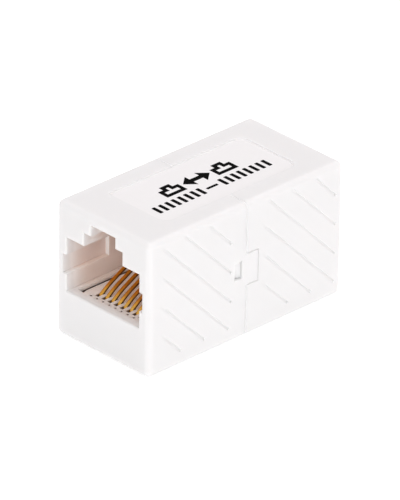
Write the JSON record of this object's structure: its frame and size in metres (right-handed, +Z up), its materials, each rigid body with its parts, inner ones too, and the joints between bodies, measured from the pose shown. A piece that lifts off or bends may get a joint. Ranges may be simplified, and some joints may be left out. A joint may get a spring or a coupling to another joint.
{
  "type": "rj45 inline coupler",
  "caption": "Small white inline coupler with a modular plug port at each end, two snapped half shells, slanted grip grooves and a label in a shallow recess on top.",
  "frame": {"origin": "middle of the underside", "axes": "+X across the width, +Y along the length from the front port to the rear port, +Z up, so the front port faces -Y with its keyway on top"},
  "size_m": [0.0154, 0.0306, 0.0172],
  "materials": {
    "white_shell": "satin moulded",
    "label_film": "satin print",
    "carrier_plastic": "satin moulded",
    "contact_gold": "polished",
    "board_laminate": "semi-gloss",
    "solder": "satin"
  },
  "bodies": {
    "root": {"front_shell": "white_shell", "rear_shell": "white_shell", "label": "label_film", "circuit_board": "board_laminate", "front_contact_carrier": "carrier_plastic", "front_contact_1": "contact_gold", "front_contact_2": "contact_gold", "front_contact_3": "contact_gold", "front_contact_4": "contact_gold", "front_contact_5": "contact_gold", "front_contact_6": "contact_gold", "front_contact_7": "contact_gold", "front_contact_8": "contact_gold", "front_solder_joints": "solder", "rear_contact_carrier": "carrier_plastic", "rear_contact_1": "contact_gold", "rear_contact_2": "contact_gold", "rear_contact_3": "contact_gold", "rear_contact_4": "contact_gold", "rear_contact_5": "contact_gold", "rear_contact_6": "contact_gold", "rear_contact_7": "contact_gold", "rear_contact_8": "contact_gold", "rear_solder_joints": "solder"}
  },
  "joints": []
}
